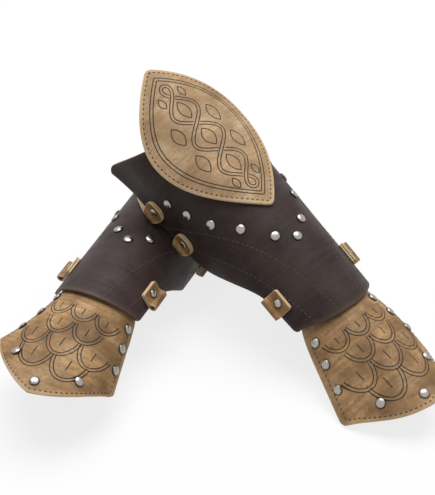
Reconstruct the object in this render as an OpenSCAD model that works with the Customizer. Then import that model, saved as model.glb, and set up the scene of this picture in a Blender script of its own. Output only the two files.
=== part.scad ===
// A pair of leather bracers, laid down as they are shown for sale.
// The lower one stands on the table on its lacing edges, and the upper one lies across its back
// with a corner of its hand plate on the table.
// Millimetres, +Z up, the table at Z = 0.
// Each bracer is drawn in its own frame: X runs from the elbow to the hand along the middle of the
// curve that the forearm shell follows, Z points out through the back of the arm, and both flanks
// are alike. The upper shell has sprung open, so that its flanks hang straight below the X axis.
// The lower shell is rolled tighter, and stays round all the way to its lacing edges.

/* [Forearm shells] */
// Length of a shell along the back of the arm, from elbow edge to wrist edge
shell_len = 218; // [208:1:226]
// Outer radius of the upper shell's curve at the elbow edge
front_elbow_r = 57.5; // [56:0.5:59]
// Outer radius of the upper shell's curve at the wrist edge
front_wrist_r = 50; // [48.5:0.5:51.5]
// Depth of the upper shell's lacing edges under its axis along the elbow half
front_low = 24; // [22:0.5:27]
// Height of the upper shell's lacing edges over its axis along the wrist
front_high = 18; // [16:0.5:20]
// Outer radius of the lower shell's curve at the elbow edge
rear_elbow_r = 48.5; // [47.5:0.5:50]
// Outer radius of the lower shell's curve at the wrist edge
rear_wrist_r = 46; // [45:0.5:47]
// Depth of the lower shell's lacing edges under its axis along the elbow half
rear_low = 33.5; // [31:0.5:36]
// Height of the lower shell's lacing edges over its axis along the wrist
rear_high = 15; // [13:0.5:18]
// Thickness of the shells' leather
shell_t = 3; // [2.5:0.1:3.2]
// How far the elbow corners reach past the middle of the elbow edge
elbow_scoop = 32; // [26:1:36]
// How far the middle of the wrist edge bows out past its corners
wrist_bow = 13; // [9:1:19]
// Where the lacing edges start to draw in
waist_from = 83; // [77:1:88]
// Where the lacing edges stop drawing in
waist_to = 169; // [162:1:174]
// Radius of a shell's rounded corners at the elbow
corner_r = 8; // [5:0.5:9]
// Radius of a shell's rounded corners at the wrist
wrist_corner_r = 4; // [3:0.5:6]

/* [Elbow plates] */
// Length of the leaf-shaped elbow plate, tip to tip
leaf_len = 169; // [158:1:176]
// Greatest width of the elbow plate, straight across
leaf_w = 110; // [102:1:113]
// How far the elbow plate's lower tip reaches down the shell
leaf_tip = 102; // [96:0.5:104]
// Share of the leaf's length from its widest place to its lower tip
leaf_belly = 0.555; // [0.52:0.005:0.59]
// Outer radius of the elbow plate's curve at the shell's elbow edge
leaf_r = 94; // [89:0.5:98]
// Angle at which the elbow plate's curve opens towards the elbow
leaf_open = 4.5; // [3.5:0.5:5.5]
// Angle by which the elbow plate leans from the shell's ridge
leaf_turn = 4; // [0:0.5:5]
// Thickness of the elbow plate's leather
leaf_t = 3; // [2.4:0.1:3.4]

/* [Hand plates] */
// Length of the hand plate past the middle of the wrist edge
hand_len = 102; // [97:1:106]
// Length of the hand plate's straight sides past the middle of the wrist edge
hand_side = 72; // [67:1:76]
// Width of the hand plate where it leaves the shell, straight across
hand_w_wrist = 78; // [75:0.5:79]
// Width of the hand plate between its end corners, straight across
hand_w_end = 109; // [106:0.5:110]
// Angle at which the upper bracer's hand plate opens out towards the hand
front_open = 11.5; // [11:0.5:13]
// Angle at which the lower bracer's hand plate opens out towards the hand
rear_open = 12.5; // [12:0.5:14]
// Angle at which the upper bracer's hand plate is bent up from the line of its back
front_lift = 11; // [8:0.5:12]
// Angle at which the lower bracer's hand plate droops from the line of its back
rear_droop = 4; // [2:0.5:6]
// Angle by which the upper bracer's hand plate is turned round the arm towards the viewer
front_turned = 12; // [8:0.5:13]
// Angle by which the lower bracer's hand plate is turned round the arm towards the viewer
rear_turned = 8; // [5:0.5:9]
// Length of the hand plate's tail under the shell
tail_len = 27; // [22:1:30]
// Thickness of the hand plate's leather
hand_t = 3; // [2.4:0.1:3.2]

/* [Rivets] */
// Diameter of a rivet's domed cap
cap_d = 9.5; // [8.5:0.5:10.5]
// Height of a rivet's domed cap
cap_h = 2.4; // [2:0.1:3]
// Diameter of the smaller caps on the lacing loops
loop_cap_d = 8; // [7:0.5:8]
// Height of the smaller caps on the lacing loops
loop_cap_h = 2; // [1.6:0.1:2.4]
// Diameter of a rivet's post
post_d = 3; // [2.6:0.1:3.4]
// Diameter of the flat foot of a rivet's post
foot_d = 8; // [7:0.5:9]
// Thickness of the flat foot of a rivet's post
foot_h = 0.8; // [0.6:0.1:1]
// Distance from the hand plate's edge to its rivets
rivet_inset = 9.5; // [8:0.5:11]

/* [Lacing loops] */
// Width of a lacing loop's strap, measured along the arm
loop_w = 22; // [18:1:24]
// Thickness of a lacing loop's strap
loop_t = 1.8; // [1.6:0.1:2]
// Diameter of the tunnel that the lace runs through
lace_d = 4.2; // [3.8:0.1:4.6]
// Length of a lacing loop from its cut ends to its rivet
loop_tail = 7; // [6.5:0.5:8]
// Distance from a lacing loop's rivet to the middle of its tunnel
loop_reach = 8.2; // [8.2:0.1:9]
// Distance from a lacing loop's rivet to the lacing edge
loop_inset = 12; // [11:0.5:13.5]

/* [How the pair lies] */
// Direction in which the lower bracer's hand points, seen from above
rear_yaw = 245; // [242:0.5:248]
// Direction in which the upper bracer's hand points, seen from above
front_yaw = -45; // [-47:0.5:-43]
// Where the lower bracer's axis starts, left and right
rear_x = -29.5; // [-31.5:0.5:-27.5]
// Where the lower bracer's axis starts, front and back
rear_y = 120.5; // [118:0.5:123]
// Where the upper bracer's axis starts, left and right
front_x = -36.5; // [-38.5:0.5:-34.5]
// Where the upper bracer's axis starts, front and back
front_y = 74.5; // [72:0.5:77]
// Angle at which the upper bracer leans towards the viewer
front_roll = 2.5; // [1.5:0.5:4]

/* [Hidden] */
$fn = 72;

dark = [0.24, 0.17, 0.15];
tan_brown = [0.70, 0.53, 0.34];
nickel = [0.80, 0.79, 0.77];

seat = 0.1;          // gap between pieces that are fastened face to face
slack = 0.4;         // gap round the hand plate's tail, which moves
hole_play = 0.1;     // how much wider a punched hole is than the post in it, all round
socket = 1.1;        // how far a post reaches into its cap

// A shell's shape: radius at the elbow edge and at the wrist edge, depth and height of its lacing
// edges, and whether it stays round under the axis. Near is the side of the flank in view.
front_shape = [front_elbow_r, front_wrist_r, front_low, front_high, false];
rear_shape = [rear_elbow_r, rear_wrist_r, rear_low, rear_high, true];
function slope(shape) = atan((shape[0] - shape[1]) / shell_len);
function shell_r(x, shape) = shape[0] - x * tan(slope(shape));
function turn_y(a, p) = [p[0] * cos(a) + p[2] * sin(a), p[1], -p[0] * sin(a) + p[2] * cos(a)];
function turn_x(a, p) = [p[0], p[1] * cos(a) - p[2] * sin(a), p[1] * sin(a) + p[2] * cos(a)];

// The shell's outline from the side. The lacing edge draws in along half a cosine wave.
edge_steps = 12;
function edge_z(x, shape) =
    let (k = min(1, max(0, (x - waist_from) / (waist_to - waist_from))))
    -shape[2] + (shape[2] + shape[3]) * (1 - cos(180 * k)) / 2;
function arc_pts(centre, r, from, to, n = 5) =
    [for (i = [0:n]) let (a = from + (to - from) * i / n) centre + r * [cos(a), sin(a)]];
elbow_x = -elbow_scoop;
wrist_x = shell_len - wrist_bow;
function side_outline(shape) = concat(
    [[0, shape[0] + 5], [0, shape[0]]],
    arc_pts([elbow_x + corner_r, -shape[2] + corner_r], corner_r, 165, 270),
    [for (i = [0:edge_steps]) let (x = waist_from + (waist_to - waist_from) * i / edge_steps)
        [x, edge_z(x, shape)]],
    arc_pts([wrist_x - wrist_corner_r, shape[3] + wrist_corner_r], wrist_corner_r, 270, 375),
    [[shell_len, shape[1] - shell_t], [shell_len, shape[0] + 5]]);

// A sheet bent round the X axis, r0 in radius at X = 0 and growing by grow for each millimetre
module bent_sheet(x0, x1, r0, grow, t, half) {
    rotate([0, 90, 0]) rotate([0, 0, 180 - half])
        rotate_extrude(angle = 2 * half, $fn = 120)
            polygon([[r0 + x0 * grow - t, x0], [r0 + x0 * grow, x0],
                     [r0 + x1 * grow, x1], [r0 + x1 * grow - t, x1]]);
}

// A shell's raw sheet: round all the way, or a half round back with a straight flank on each side
module shell_sheet(shape) {
    x0 = elbow_x - 5;
    x1 = shell_len + 5;
    bent_sheet(x0, x1, shape[0], -tan(slope(shape)), shell_t, shape[4] ? 145 : 90);
    if (!shape[4])
        for (side = [-1, 1]) translate([0, 0, -shape[2] - 5]) linear_extrude(shape[2] + 5)
            polygon([[x0, side * (shell_r(x0, shape) - shell_t)], [x0, side * shell_r(x0, shape)],
                     [x1, side * shell_r(x1, shape)], [x1, side * (shell_r(x1, shape) - shell_t)]]);
}

// Puts a thing on the outside of a shell, at a distance s round the leather from the ridge:
// z points out of the leather, and y points away from the ridge on the side that is 1
module on_shell(x, s, side, shape) {
    r = shell_r(x, shape);
    quarter = shape[4] ? 2 * r * PI : r * PI / 2;
    translate([0, 0, -max(0, s - quarter)]) rotate([-side * min(quarter, s) / r * 180 / PI, 0, 0])
        translate([x, 0, r]) rotate([0, slope(shape), 0]) children();
}

// Places of the chevron's rivets, for one flank: along the arm, and round from the ridge
chevron_tip = 0.635 * shell_len;
chevron_arm = [for (p = [[0.581, 17], [0.467, 37], [0.366, 56], [0.262, 69.5], [0.166, 79.5]])
    [p[0] * shell_len, p[1]]];
module at_chevron(shape) {
    on_shell(chevron_tip, 0, 1, shape) children();
    for (side = [-1, 1], p = chevron_arm) on_shell(p[0], p[1], side, shape) children();
}

// Places of the lacing loops' rivets, from the lacing edge
loop_x = [0.133 * shell_len, 0.323 * shell_len, 0.798 * shell_len];
wrist_loop_out = 2.5;
// A round shell's lower loops sit farther in, to clear the table: their straps run straight down
round_loop_in = 4.5;
function edge_s(x, shape) = let (r = shell_r(x, shape), z = edge_z(x, shape))
    z > 0 || shape[4] ? r * acos(z / r) * PI / 180 : r * PI / 2 - z;
function loop_s(i, shape) = edge_s(loop_x[i], shape) - loop_inset
    + (i == 2 ? wrist_loop_out : shape[4] ? -round_loop_in : 0);
module at_loop(side, i, shape) {
    on_shell(loop_x[i], loop_s(i, shape), side, shape) children();
}
module at_loops(shape) {
    for (side = [-1, 1], i = [0:2]) at_loop(side, i, shape) children();
}

// The elbow plate's frame lies on the shell's ridge, with the plate's curve under it. The plate
// leans round the place leaf_pin on the ridge, and is rolled back so that its tip is on the ridge.
leaf_grow = -tan(leaf_open);
leaf_seat = 0.5;
leaf_pin = 0.6 * leaf_tip;
module leaf_frame(side, shape) {
    roll = asin((leaf_tip - leaf_pin) * sin(leaf_turn) / shape[0]);
    rotate([-side * roll, 0, 0]) translate([leaf_pin, 0, 0]) rotate([0, 0, -side * leaf_turn])
        translate([-leaf_pin, 0, shape[0] + leaf_seat]) rotate([0, slope(shape) - leaf_open, 0])
            translate([0, 0, leaf_t - leaf_r]) children();
}
leaf_mid = leaf_tip - leaf_belly * leaf_len;
leaf_steps = 12;
blunt_at = 0.97;
function leaf_y(k) = leaf_w / 2 * (1 - pow(k, 1.95));
function leaf_half(len) = [for (i = [0:leaf_steps - 1]) let (k = i / leaf_steps * blunt_at)
    [len * k, leaf_y(k)]];
// A blunt tip that rounds off the two sides at x
function blunt(x) = [for (i = [0:6]) let (a = 90 - 30 * i) [x + 3 * cos(a), leaf_y(blunt_at) * sin(a)]];
module leaf_outline() {
    down = leaf_half(leaf_belly * leaf_len);
    up = leaf_half((1 - leaf_belly) * leaf_len);
    low = blunt(leaf_belly * leaf_len * blunt_at);
    high = blunt((1 - leaf_belly) * leaf_len * blunt_at);
    n = leaf_steps - 1;
    translate([leaf_mid, 0]) polygon(concat(
        down, low, [for (i = [n:-1:0]) [down[i][0], -down[i][1]]],
        [for (i = [1:n]) [-up[i][0], -up[i][1]]], [for (p = high) [-p[0], -p[1]]],
        [for (i = [n:-1:1]) [-up[i][0], up[i][1]]]));
}

// A hand plate is bent in its own way on each bracer:
// bend = [how far it opens, how far it rises, how far it is turned round the arm, its shell].
// A plate that rises turns at the wrist edge, and one that droops turns at the end of its tail.
front_bend = [front_open, front_lift, front_turned, front_shape];
rear_bend = [rear_open, -rear_droop, -rear_turned, rear_shape];
function hand_r(bend) = bend[3][1] - shell_t - slack;
function hand_start(bend) = [shell_len, 0, hand_r(bend)];
function hand_hinge(bend) = bend[1] > 0 ? hand_start(bend)
    : [shell_len - tail_len, 0, hand_r(bend) + tail_len * tan(slope(bend[3]))];
function hand_rr(x, bend) = hand_r(bend) + x * tan(bend[0]);
module hand_frame(bend) {
    rotate([bend[2], 0, 0]) translate(hand_hinge(bend)) rotate([0, -bend[1], 0])
        translate(hand_start(bend) - hand_hinge(bend))
            rotate([0, bend[0] + slope(bend[3]), 0]) translate([0, 0, -hand_r(bend)]) children();
}
function hand_point(p, bend) = turn_x(bend[2], hand_hinge(bend) + turn_y(-bend[1],
    hand_start(bend) - hand_hinge(bend)
    + turn_y(bend[0] + slope(bend[3]), p - [0, 0, hand_r(bend)])));
module on_hand(x, phi, bend) {
    hand_frame(bend) rotate([-phi, 0, 0]) translate([x, 0, hand_rr(x, bend)])
        rotate([0, -bend[0], 0]) children();
}
function hand_y(x) = hand_w_wrist / 2 + (hand_w_end - hand_w_wrist) / 2 * x / hand_side;
function hand_phi(x, bend) =
    asin(hand_y(x) / hand_rr(x, bend)) - rivet_inset / hand_rr(x, bend) * 180 / PI;
hand_rivet_x = [4.5, 0.345 * hand_side, 0.66 * hand_side];
end_rivet = [hand_side + 5, 31];
module at_hand_rivets(bend) {
    on_hand(hand_len - rivet_inset - 1, 0, bend) children();
    for (side = [-1, 1]) {
        for (x = hand_rivet_x) on_hand(x, side * hand_phi(x, bend), bend) children();
        on_hand(end_rivet[0], side * end_rivet[1], bend) children();
    }
}
hand_corner_r = 5;
corner_pts = [[hand_side - hand_corner_r, hand_y(hand_side - hand_corner_r)],
    [hand_side - 1, hand_y(hand_side) - 1.4], [hand_side + 2.5, hand_y(hand_side) - 4.5]];
module hand_outline() {
    end = hand_len - hand_side;
    half = concat([
        [-tail_len, 0], [-tail_len, hand_w_wrist / 2 - 15], [-tail_len + 9, hand_w_wrist / 2 - 6],
        [0, hand_y(0)]], corner_pts, [
        [hand_side + 0.42 * end, hand_w_end * 0.41], [hand_side + 0.68 * end, hand_w_end * 0.32],
        [hand_side + 0.88 * end, hand_w_end * 0.19], [hand_len - 0.8, 6], [hand_len, 0]]);
    polygon(concat(half, [for (i = [len(half) - 2:-1:1]) [half[i][0], -half[i][1]]]));
}

module forearm_shell(shape) {
    color(dark) difference() {
        intersection() {
            shell_sheet(shape);
            rotate([90, 0, 0]) linear_extrude(4 * shape[0], center = true)
                polygon(side_outline(shape));
        }
        at_chevron(shape) post_hole();
        at_loops(shape) post_hole();
    }
}

module elbow_plate(side, shape) {
    color(tan_brown) leaf_frame(side, shape) intersection() {
        bent_sheet(leaf_tip - leaf_len - 5, leaf_tip + 5, leaf_r, leaf_grow, leaf_t, 75);
        linear_extrude(2 * leaf_r) leaf_outline();
    }
}

module hand_plate(bend) {
    color(tan_brown) difference() {
        hand_frame(bend) intersection() {
            bent_sheet(-tail_len - 5, hand_len + 5, hand_r(bend), tan(bend[0]), hand_t, 86);
            linear_extrude(3 * hand_r(bend)) hand_outline();
        }
        at_hand_rivets(bend) post_hole();
    }
}

module post_hole() {
    cylinder(h = 20, d = post_d + 2 * hole_play, center = true, $fn = 24);
}

// A domed cap, d wide and h high, with a blind socket for its post. Its underside is at z = lift.
module rivet_cap(lift, d, h) {
    dome_r = (h * h + d * d / 4) / (2 * h);
    color(nickel) translate([0, 0, lift + seat]) difference() {
        rotate_extrude($fn = 36) intersection() {
            translate([0, h - dome_r]) circle(dome_r);
            square([d, h]);
        }
        translate([0, 0, -1]) cylinder(h = 1 + socket + 0.1, d = post_d + 2 * hole_play, $fn = 24);
    }
}

// A post with a flat foot that lies inside a sheet of radius r, through a stack of leather
module rivet_post(lift, under, r) {
    sag = r - sqrt(r * r - foot_d * foot_d / 4);
    low = -under - seat - sag;
    color(nickel) {
        translate([0, 0, low - foot_h]) cylinder(h = foot_h, d = foot_d, $fn = 36);
        translate([0, 0, low - foot_h])
            cylinder(h = lift + seat + socket - low + foot_h, d = post_d, $fn = 24);
    }
}

// One strap folded in two over the lacing edge, with the lace's tunnel in the fold.
// Its section is drawn with x across the arm and y out of the leather.
loop_high = 2 * loop_t;
tunnel_r = lace_d / 2 + loop_t;
module lacing_loop(side) {
    color(tan_brown) difference() {
        rotate([90, 0, 90]) linear_extrude(loop_w, center = true) flip(side) difference() {
            union() {
                translate([loop_reach, seat + tunnel_r]) circle(tunnel_r, $fn = 48);
                polygon([[-loop_tail, seat], [loop_reach, seat], [loop_reach, seat + tunnel_r * 2],
                         [loop_reach - tunnel_r * 0.8, seat + tunnel_r * 1.6],
                         [loop_cap_d / 2 + 0.3, seat + loop_high], [-loop_tail, seat + loop_high]]);
            }
            translate([loop_reach, seat + tunnel_r]) circle(d = lace_d, $fn = 48);
        }
        post_hole();
    }
}
module flip(side) {
    if (side < 0) mirror([1, 0]) children();
    else children();
}

// The upper bracer's lacing edge lies across the lower one's back, and its hand plate's near
// corner is on the table. Its fall towards the hand follows from those two heights.
front_over = 14.2;
table_gap = 0.1;
front_z = rear_low + rear_elbow_r + front_low + front_over;
front_feet = [for (p = corner_pts) hand_point([p[0], -p[1],
    sqrt(max(1, pow(hand_rr(p[0], front_bend) - hand_t, 2) - pow(p[1], 2)))], front_bend)];
front_pitch = min([for (f = front_feet)
    let (z = f[1] * sin(front_roll) + f[2] * cos(front_roll))
    asin((front_z - table_gap) / norm([f[0], z])) + atan2(z, f[0])]);
module as_front() {
    translate([front_x, front_y, front_z]) rotate([front_roll, front_pitch, front_yaw]) children();
}
// The lower bracer stands level
module as_rear() {
    translate([rear_x, rear_y, rear_low]) rotate([0, 0, rear_yaw]) children();
}

module one_bracer(prefix, near, shape, bend) {
    loop_top = loop_high + seat;
    bend_r = shape[1] - shell_t;
    forearm_shell(shape);
    elbow_plate(near, shape);
    hand_plate(bend);
    at_chevron(shape) rivet_cap(0, cap_d, cap_h);
    at_chevron(shape) rivet_post(0, shell_t, bend_r);
    at_hand_rivets(bend) rivet_cap(0, cap_d, cap_h);
    at_hand_rivets(bend) rivet_post(0, hand_t, hand_r(bend) - hand_t);
    at_loops(shape) rivet_cap(loop_top, loop_cap_d, loop_cap_h);
    at_loops(shape) rivet_post(loop_top, shell_t, bend_r);
    for (i = [0:2]) {
        place = ["elbow", "middle", "wrist"][i];
        at_loop(near, i, shape) lacing_loop(near);
        at_loop(-near, i, shape) lacing_loop(-near);
    }
}

as_front() one_bracer("front", -1, front_shape, front_bend);
as_rear() one_bracer("rear", 1, rear_shape, rear_bend);
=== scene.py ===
import math

import bmesh
import bpy
from bpy.props import FloatProperty, FloatVectorProperty, PointerProperty
from mathutils import Matrix, Vector
from mathutils.kdtree import KDTree


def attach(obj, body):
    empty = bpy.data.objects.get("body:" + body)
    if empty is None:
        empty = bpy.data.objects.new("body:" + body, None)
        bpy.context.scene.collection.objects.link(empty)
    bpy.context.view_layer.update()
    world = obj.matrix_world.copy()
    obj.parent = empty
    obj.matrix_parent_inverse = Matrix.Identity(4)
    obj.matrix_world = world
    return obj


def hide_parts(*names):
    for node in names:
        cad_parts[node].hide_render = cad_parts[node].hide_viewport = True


bl_info = {
    "name": "Pair of leather bracers",
    "version": (1, 0, 0),
    "blender": (4, 5, 0),
    "location": "3D View > Sidebar > Bracers",
    "description": "Dresses a pair of laced forearm bracers in leather, thread and nickel",
    "category": "Object",
}

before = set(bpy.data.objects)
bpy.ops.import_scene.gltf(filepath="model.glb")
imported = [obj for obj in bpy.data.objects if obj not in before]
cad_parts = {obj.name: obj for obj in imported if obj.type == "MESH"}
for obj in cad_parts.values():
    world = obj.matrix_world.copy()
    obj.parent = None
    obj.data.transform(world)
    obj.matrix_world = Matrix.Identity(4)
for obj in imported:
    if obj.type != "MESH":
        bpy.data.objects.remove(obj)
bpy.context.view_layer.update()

MM = 0.001
PLACES = ("elbow", "middle", "wrist")


# Sizes and colours that a user would change

def length(name, description, millimetres):
    return FloatProperty(name=name, description=description, default=millimetres * MM,
                         subtype="DISTANCE", unit="LENGTH", precision=4)


def angle(name, description, degrees):
    return FloatProperty(name=name, description=description, default=math.radians(degrees),
                         subtype="ANGLE", unit="ROTATION")


def place(name, description, millimetres):
    return FloatVectorProperty(name=name, description=description, size=3, subtype="TRANSLATION",
                               unit="LENGTH", default=tuple(v * MM for v in millimetres))


def linear(value):
    return value / 12.92 if value <= 0.04045 else ((value + 0.055) / 1.055) ** 2.4


def colour(name, description, red, green, blue):
    return FloatVectorProperty(name=name, description=description, size=4, min=0.0, max=1.0,
                               default=(linear(red), linear(green), linear(blue), 1.0),
                               subtype="COLOR")


# Sizes that each bracer has for itself: the upper one's value, then the lower one's
OWN_SIZES = {
    "elbow_radius": (length, "Elbow radius", "Outer radius of the shell at the elbow", 57.5, 48.5),
    "wrist_radius": (length, "Wrist radius", "Outer radius of the shell at the wrist", 50, 46),
    "edge_depth": (length, "Edge depth", "Depth of the lacing edges under the axis at the elbow",
                   24, 33.5),
    "edge_height": (length, "Edge height", "Height of the lacing edges over the axis at the wrist",
                    18, 15),
    "hand_open": (angle, "Hand opening", "Angle at which the hand plate flares", 11.5, 12.5),
    "hand_bend": (angle, "Hand bend", "Angle at which the hand plate is bent up", 11, -4),
    "hand_turn": (angle, "Hand turn", "Angle by which the hand plate is turned round the arm",
                  12, -8),
    "near_wide": (length, "Near side", "How much wider the hand plate is on the viewer's side",
                  2.5, 2),
    "near_reach": (length, "Near corner", "How much longer the hand plate is on the viewer's side",
                   -1, -7),
    "near_lift": (length, "Near lift", "How far the near corner of the hand plate is lifted", 5, 0),
    "far_reach": (length, "Far corner", "How much longer the hand plate is on the far side",
                  -12, -9),
    "far_lift": (length, "Far lift", "How far the far corner of the hand plate is lifted", -8, 5),
    "start": (place, "Start", "Where the shell's axis starts, above the elbow",
              (-36.5, 74.5, 120.2), (-29.5, 120.5, 33.5)),
    "yaw": (angle, "Direction", "Direction of the hand, seen from above", -45, 245),
    "pitch": (angle, "Fall", "Angle at which the bracer falls towards the hand", 25.784, 0),
    "roll": (angle, "Lean", "Angle at which the bracer leans towards the viewer", 2.5, 0),
}


def own_sizes(which):
    """The properties of one bracer: 0 for the upper one, 1 for the lower one"""
    return {key: kind(name, description, values[which])
            for key, (kind, name, description, *values) in OWN_SIZES.items()}


class BracerUpper(bpy.types.PropertyGroup):
    """The bracer that lies across the other, with its flanks sprung straight"""
    __annotations__ = own_sizes(0)


class BracerLower(bpy.types.PropertyGroup):
    """The bracer that stands on the table on its lacing edges, rolled tighter"""
    __annotations__ = own_sizes(1)


class BracerLeather(bpy.types.PropertyGroup):
    """Sizes of the leather pieces, alike on both bracers"""
    shell_length: length("Shell length", "Length along the back of the arm", 218)
    shell_thick: length("Shell leather", "Thickness of the shell", 3)
    elbow_scoop: length("Elbow scoop", "How far the elbow corners reach past the middle", 32)
    wrist_bow: length("Wrist bow", "How far the middle of the wrist edge bows out", 13)
    waist_from: length("Waist start", "Where the lacing edges start to draw in", 83)
    waist_to: length("Waist end", "Where the lacing edges stop drawing in", 169)
    elbow_corner: length("Elbow corner", "Radius of the rounded corners at the elbow", 8)
    wrist_corner: length("Wrist corner", "Radius of the rounded corners at the wrist", 4)
    leaf_length: length("Elbow plate length", "Length of the leaf-shaped plate", 169)
    leaf_width: length("Elbow plate width", "Greatest width, straight across", 110)
    leaf_tip: length("Elbow plate tip", "How far the lower tip reaches down the shell", 102)
    leaf_radius: length("Elbow plate radius", "Outer radius at the elbow edge", 94)
    leaf_open: angle("Elbow plate opening", "Angle at which the curve opens", 4.5)
    leaf_turn: angle("Elbow plate lean", "Angle by which the plate leans from the ridge", 4)
    leaf_thick: length("Elbow plate leather", "Thickness of the elbow plate", 3)
    hand_length: length("Hand plate length", "Length past the wrist edge", 102)
    hand_side: length("Hand plate sides", "Length of the straight sides past the wrist edge", 72)
    hand_wrist: length("Hand plate at wrist", "Width where it leaves the shell", 78)
    hand_end: length("Hand plate at end", "Width between the end corners", 109)
    hand_tail: length("Hand plate tail", "Length that lies under the shell", 27)
    hand_push: length("Hand plate end", "How much further the end of the hand plate lies", 5)
    hand_thick: length("Hand plate leather", "Thickness of the hand plate", 3)


class BracerFittings(bpy.types.PropertyGroup):
    """Sizes of the rivets, the lacing loops, the stitches and the tooled lines"""
    cap: length("Rivet cap", "Diameter of a rivet's cap", 9.5)
    loop_cap: length("Loop rivet cap", "Diameter of the smaller caps on the loops", 8)
    rivet_inset: length("Rivet inset", "Distance from the hand plate's edge to its rivets", 9.5)
    foot: length("Rivet foot", "Diameter of the flat foot behind the leather", 8)
    loop_width: length("Loop width", "Width of a loop's strap along the arm", 22)
    loop_thick: length("Loop leather", "Thickness of a loop's strap", 1.8)
    lace: length("Lace tunnel", "Diameter of the tunnel for the lace", 4.2)
    loop_tail: length("Loop tail", "Length from a loop's cut ends to its rivet", 7)
    loop_reach: length("Loop reach", "Distance from a loop's rivet to its tunnel", 8.2)
    loop_inset: length("Loop inset", "Distance from a loop's rivet to the lacing edge", 12)
    stitch_pitch: length("Stitch pitch", "Distance between two stitches", 4.6)
    leaf_inset: length("Elbow plate stitches", "Distance from the edge to the stitches", 3.7)
    hand_inset: length("Hand plate stitches", "Distance from the edge to the stitches", 3.3)
    band: length("Band", "Width of the band between two tooled lines", 3)
    line: length("Tooled line", "Width of a tooled line", 1.3)


class BracerColours(bpy.types.PropertyGroup):
    """Colours of the leathers, the thread and the nickel"""
    shell: colour("Shell", "Dark brown grain leather", 0.148, 0.108, 0.102)
    shell_worn: colour("Shell, worn", "Where the dark leather is rubbed", 0.23, 0.18, 0.172)
    shell_cut: colour("Shell edge", "Cut edge of the dark leather", 0.40, 0.33, 0.29)
    shell_back: colour("Shell inside", "Flesh side of the dark leather", 0.085, 0.065, 0.06)
    plate: colour("Elbow plate", "Tan leather", 0.725, 0.620, 0.490)
    plate_dark: colour("Elbow plate, dark", "Darker clouds in the tan leather", 0.535, 0.425, 0.30)
    hand: colour("Hand plate", "Tan leather of the hand plates", 0.700, 0.565, 0.405)
    hand_dark: colour("Hand plate, dark", "Darker clouds in the hand plates", 0.43, 0.32, 0.195)
    plate_cut: colour("Plate edge", "Cut edge of the tan leather", 0.80, 0.69, 0.54)
    plate_back: colour("Plate inside", "Flesh side of the tan leather", 0.56, 0.44, 0.31)
    strap: colour("Loop", "Tan leather of the loops", 0.60, 0.46, 0.28)
    strap_dark: colour("Loop, dark", "Darker clouds in the loops", 0.42, 0.30, 0.17)
    # Tooled lines: their burnished tone plus painted shade for the groove, since the beads lie
    # nearly flush
    burnish_and_shade: colour("Tooled line", "Burnished tone of the tooled lines", 0.11, 0.065, 0.045)
    thread: colour("Thread", "Brown thread of the plates", 0.27, 0.165, 0.09)
    # The shells' thread is lifted above its own dark brown: a painted highlight for the sheen on
    # the thread
    shell_thread: colour("Shell thread", "Waxed thread of the shells", 0.36, 0.29, 0.26)
    # Painted shade: the near-black strip under the shells' thread stands in for the shade in the
    # seam groove
    groove_shade: colour("Shell groove", "Dark groove under the shells' thread", 0.05, 0.035, 0.03)
    nickel: colour("Nickel", "Nickel of the rivets", 0.68, 0.665, 0.64)
    # Painted shade: the dark band round the rivets' rims stands in for contact shade and dark
    # reflections
    rim_shade: colour("Rim shade", "Dull rim of the rivets", 0.20, 0.17, 0.15)


# The shape of one bracer, as the frame has it

def turned(axis, radians):
    return Matrix.Rotation(radians, 4, axis)


def moved(x, y, z):
    return Matrix.Translation((x, y, z))


def on_cone(radius, x, s, h):
    """A place h above a cone about the x axis, which has this radius at x"""
    turn = s / radius
    return Vector((x, (radius + h) * math.sin(turn), (radius + h) * math.cos(turn)))


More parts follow.
